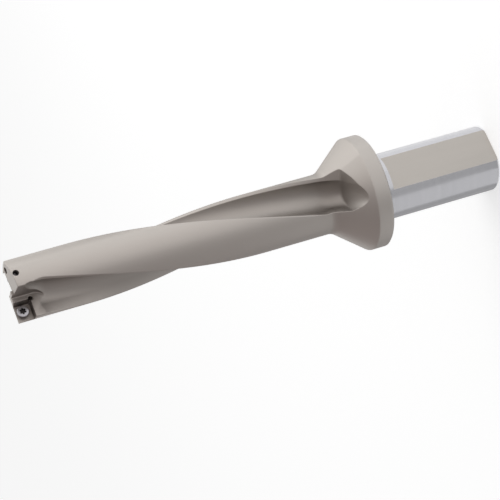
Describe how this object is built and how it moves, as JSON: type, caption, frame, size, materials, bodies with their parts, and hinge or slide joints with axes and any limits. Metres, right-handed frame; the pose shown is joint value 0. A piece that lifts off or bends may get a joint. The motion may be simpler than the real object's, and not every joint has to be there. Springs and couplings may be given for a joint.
{
  "type": "indexable insert drill",
  "caption": "Indexable insert drill: fluted body with two empty insert seats and their clamp screws, a stop flange and a cylindrical shank with a clamping flat.",
  "frame": {"origin": "centre of the shank's end face, on the drill's axis", "axes": "+Z along the drill's axis from the shank to the tip, +X along the outer insert's radial line, +Y the way the clamping flat and the outer seat face"},
  "size_m": [0.055, 0.055, 0.2412],
  "materials": {
    "nickel_plated_steel": "satin nickel plating, with a ground shank",
    "bright_screw_steel": "bright machined steel"
  },
  "bodies": {
    "root": {"drill_body": "nickel_plated_steel", "outer_clamp_screw": "bright_screw_steel", "inner_clamp_screw": "bright_screw_steel"}
  },
  "joints": []
}
